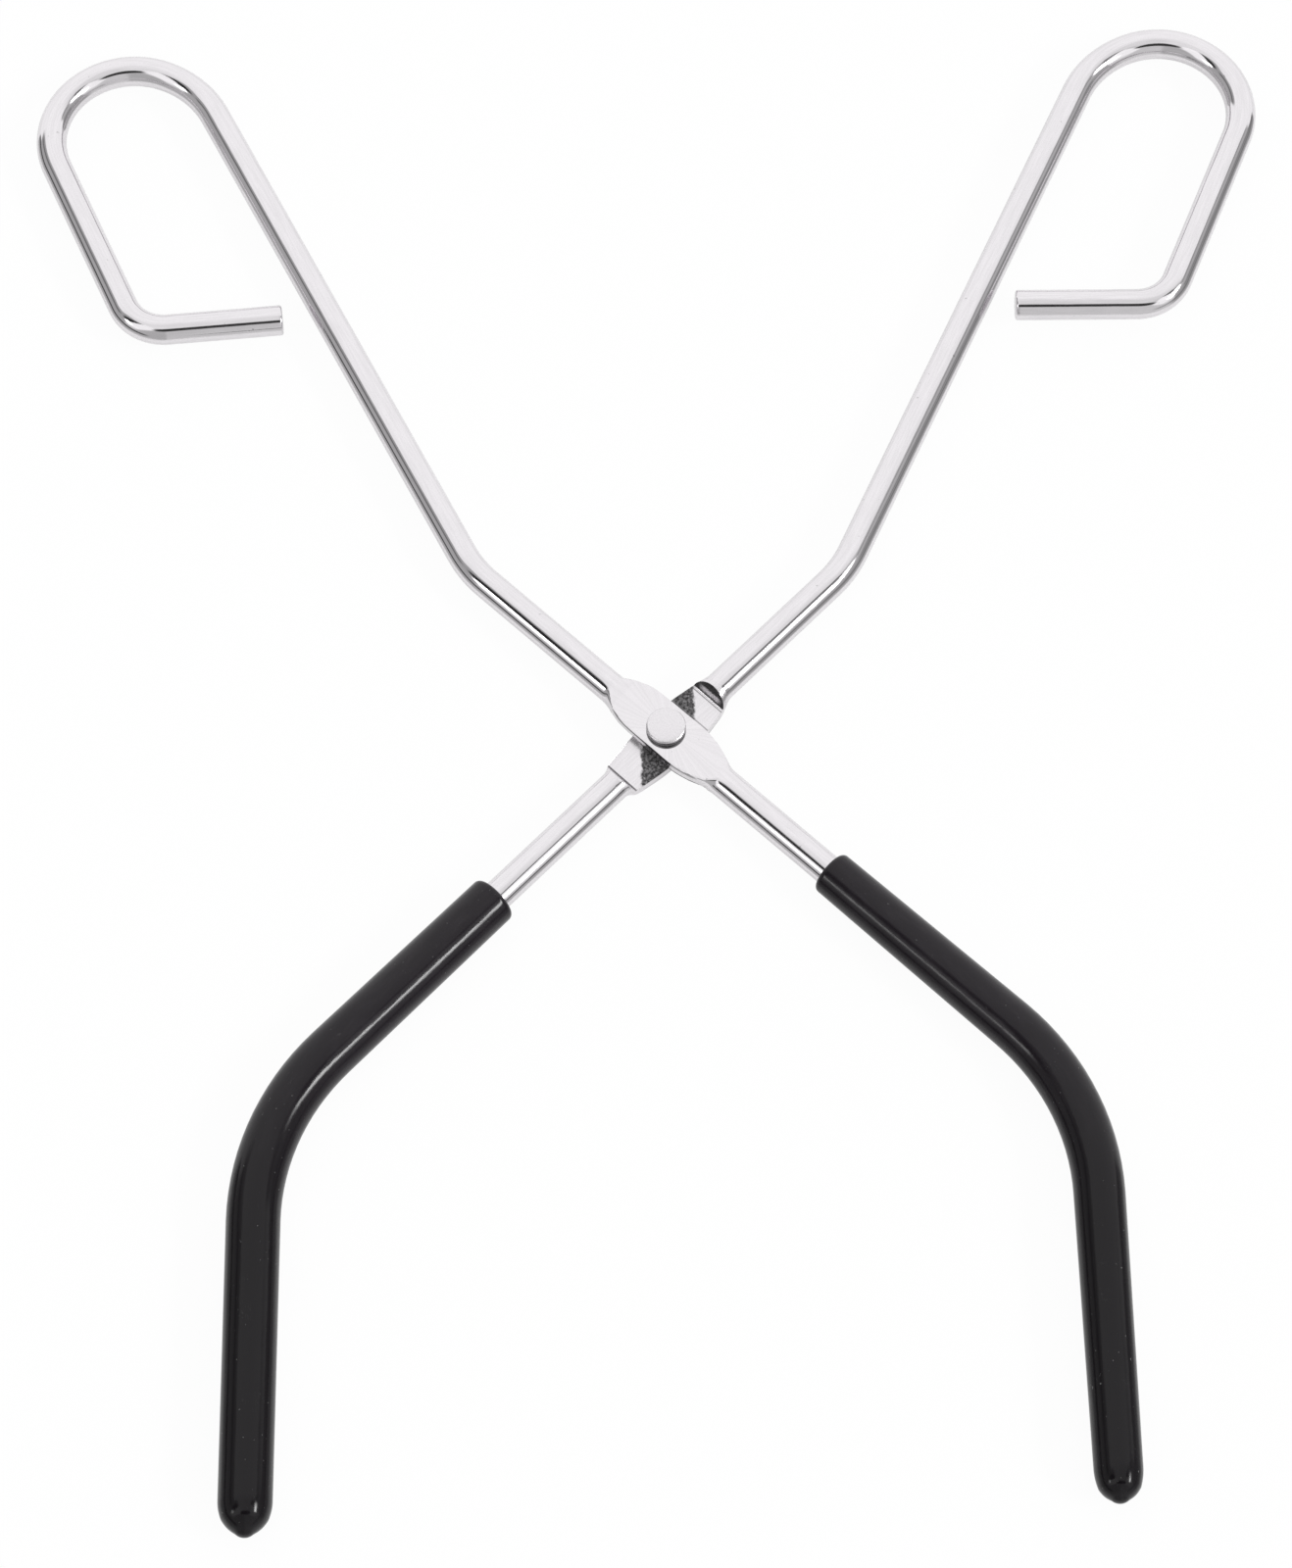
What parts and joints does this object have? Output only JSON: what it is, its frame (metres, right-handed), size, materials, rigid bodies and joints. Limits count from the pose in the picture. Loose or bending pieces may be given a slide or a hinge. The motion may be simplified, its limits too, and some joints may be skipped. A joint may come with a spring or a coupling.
{
  "type": "laboratory beaker tongs",
  "caption": "Scissor tongs for lab glassware: bent wire arms cross at a coined, riveted half-lap pivot, with D-shaped finger loops and rubber-sleeved bowed jaws.",
  "frame": {"origin": "on the pivot axis, in the plane where the blades meet, which is also the middle of the tongs' box in the open rest pose", "axes": "+Z along the pivot axis towards the rivet's flat head, +Y along the centre line towards the finger loops, jaws towards -Y; the arm on top at the pivot has its jaw at +X"},
  "size_m": [0.2051, 0.2608, 0.0084],
  "materials": {
    "plated_wire": "bright nickel-plated steel wire",
    "rivet_steel": "plain bright steel",
    "sleeve_rubber": "satin black"
  },
  "bodies": {
    "rear_arm": {"rear_arm_wire": "plated_wire", "rear_jaw_sleeve": "sleeve_rubber", "pivot_rivet": "rivet_steel"},
    "front_arm": {"front_arm_wire": "plated_wire", "front_jaw_sleeve": "sleeve_rubber"}
  },
  "joints": [
    {"name": "pivot", "type": "hinge", "parent": "rear_arm", "child": "front_arm", "pos_m": [0, 0, 0], "axis": [0, 0, 1], "range_deg": [-51.9, 49.5]}
  ]
}
